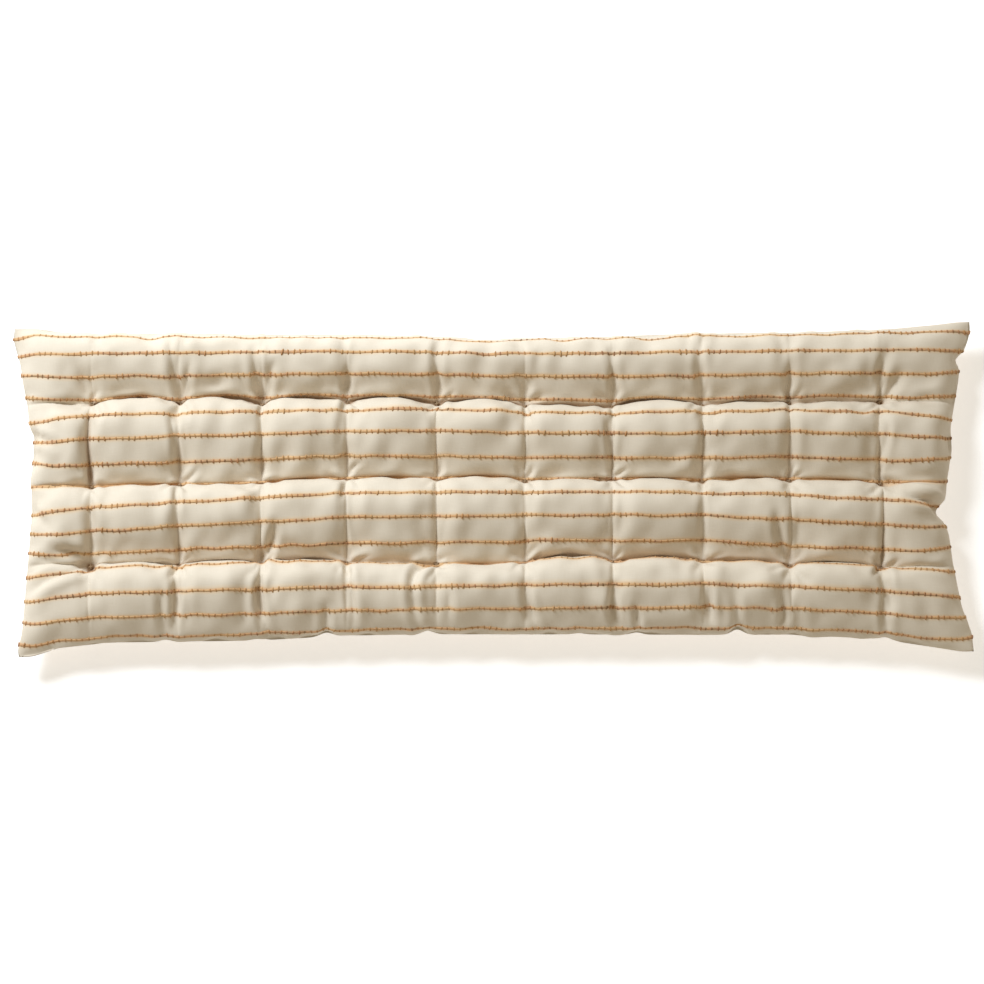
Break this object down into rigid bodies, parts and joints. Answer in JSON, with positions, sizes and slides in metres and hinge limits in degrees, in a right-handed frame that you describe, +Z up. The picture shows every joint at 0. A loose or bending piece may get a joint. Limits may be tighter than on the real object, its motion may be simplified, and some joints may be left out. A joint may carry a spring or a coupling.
{
  "type": "long throw cushion",
  "caption": "Long rectangular floor or bench cushion, tufted with thread ties in rows, with pinched corners and raised yarn stripes.",
  "frame": {"origin": "middle of the cushion on the surface that it lies on", "axes": "+Z up through the cushion's thickness, +X along its length, +Y across its width towards the back edge"},
  "size_m": [1.2, 0.422, 0.0754],
  "materials": {
    "cover": "matte woven cotton",
    "stripe_yarn": "matte twisted yarn",
    "tie_thread": "matte cotton thread"
  },
  "bodies": {
    "root": {"cushion": "cover", "tie_front_1": "tie_thread", "tie_front_2": "tie_thread", "tie_front_3": "tie_thread", "tie_front_4": "tie_thread", "tie_front_5": "tie_thread", "tie_front_6": "tie_thread", "tie_front_7": "tie_thread", "tie_front_8": "tie_thread", "tie_front_9": "tie_thread", "tie_front_10": "tie_thread", "tie_middle_1": "tie_thread", "tie_middle_2": "tie_thread", "tie_middle_3": "tie_thread", "tie_middle_4": "tie_thread", "tie_middle_5": "tie_thread", "tie_middle_6": "tie_thread", "tie_middle_7": "tie_thread", "tie_middle_8": "tie_thread", "tie_middle_9": "tie_thread", "tie_middle_10": "tie_thread", "tie_back_1": "tie_thread", "tie_back_2": "tie_thread", "tie_back_3": "tie_thread", "tie_back_4": "tie_thread", "tie_back_5": "tie_thread", "tie_back_6": "tie_thread", "tie_back_7": "tie_thread", "tie_back_8": "tie_thread", "tie_back_9": "tie_thread", "tie_back_10": "tie_thread"}
  },
  "joints": []
}
